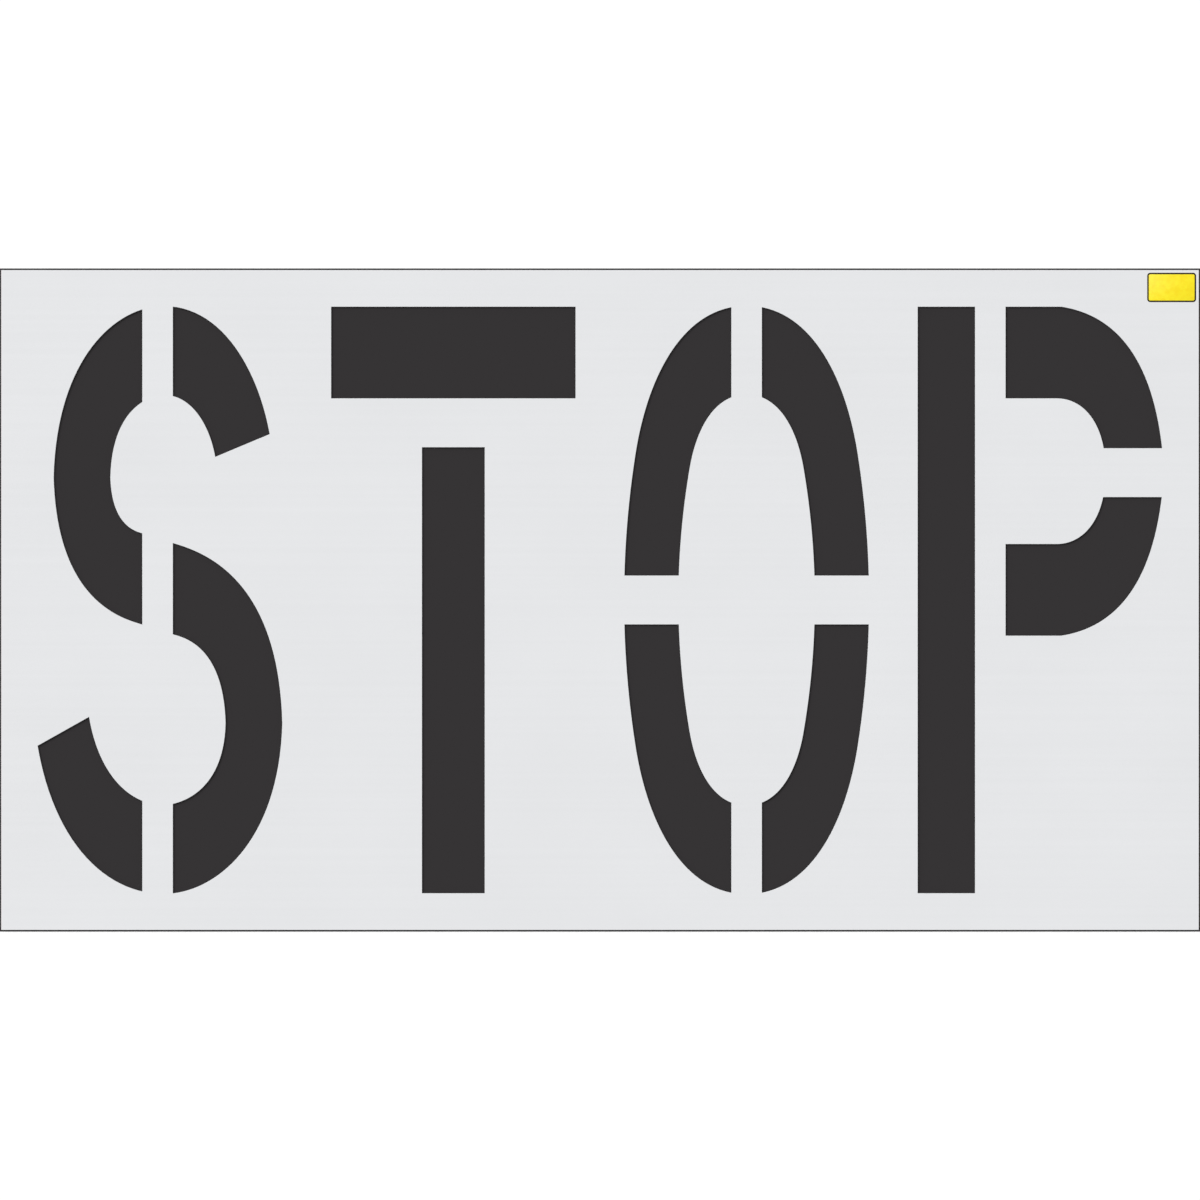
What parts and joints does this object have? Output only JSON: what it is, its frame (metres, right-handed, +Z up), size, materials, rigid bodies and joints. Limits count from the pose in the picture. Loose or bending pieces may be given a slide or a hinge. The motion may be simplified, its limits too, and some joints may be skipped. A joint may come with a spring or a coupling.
{
  "type": "road marking stencil",
  "caption": "Flat plastic sheet cut through with block letters that spell STOP, held by uncut ties, for painting the word on a road; small label in one corner.",
  "frame": {"origin": "middle of the sheet's underside, on the road", "axes": "+X along the word in reading direction, +Y from the foot to the top of the letters, +Z up from the road"},
  "size_m": [1.2446, 0.6858, 0.0034],
  "materials": {
    "sheet": "satin low-density polyethylene, pale cool grey",
    "adhesive": "clear pressure-sensitive glue, slightly yellow",
    "film": "yellow vinyl film, semi-gloss",
    "ink": "black screen-printed ink"
  },
  "bodies": {
    "root": {"stencil_sheet": "sheet", "label_adhesive": "adhesive", "label_film": "film", "label_border": "ink"}
  },
  "joints": []
}
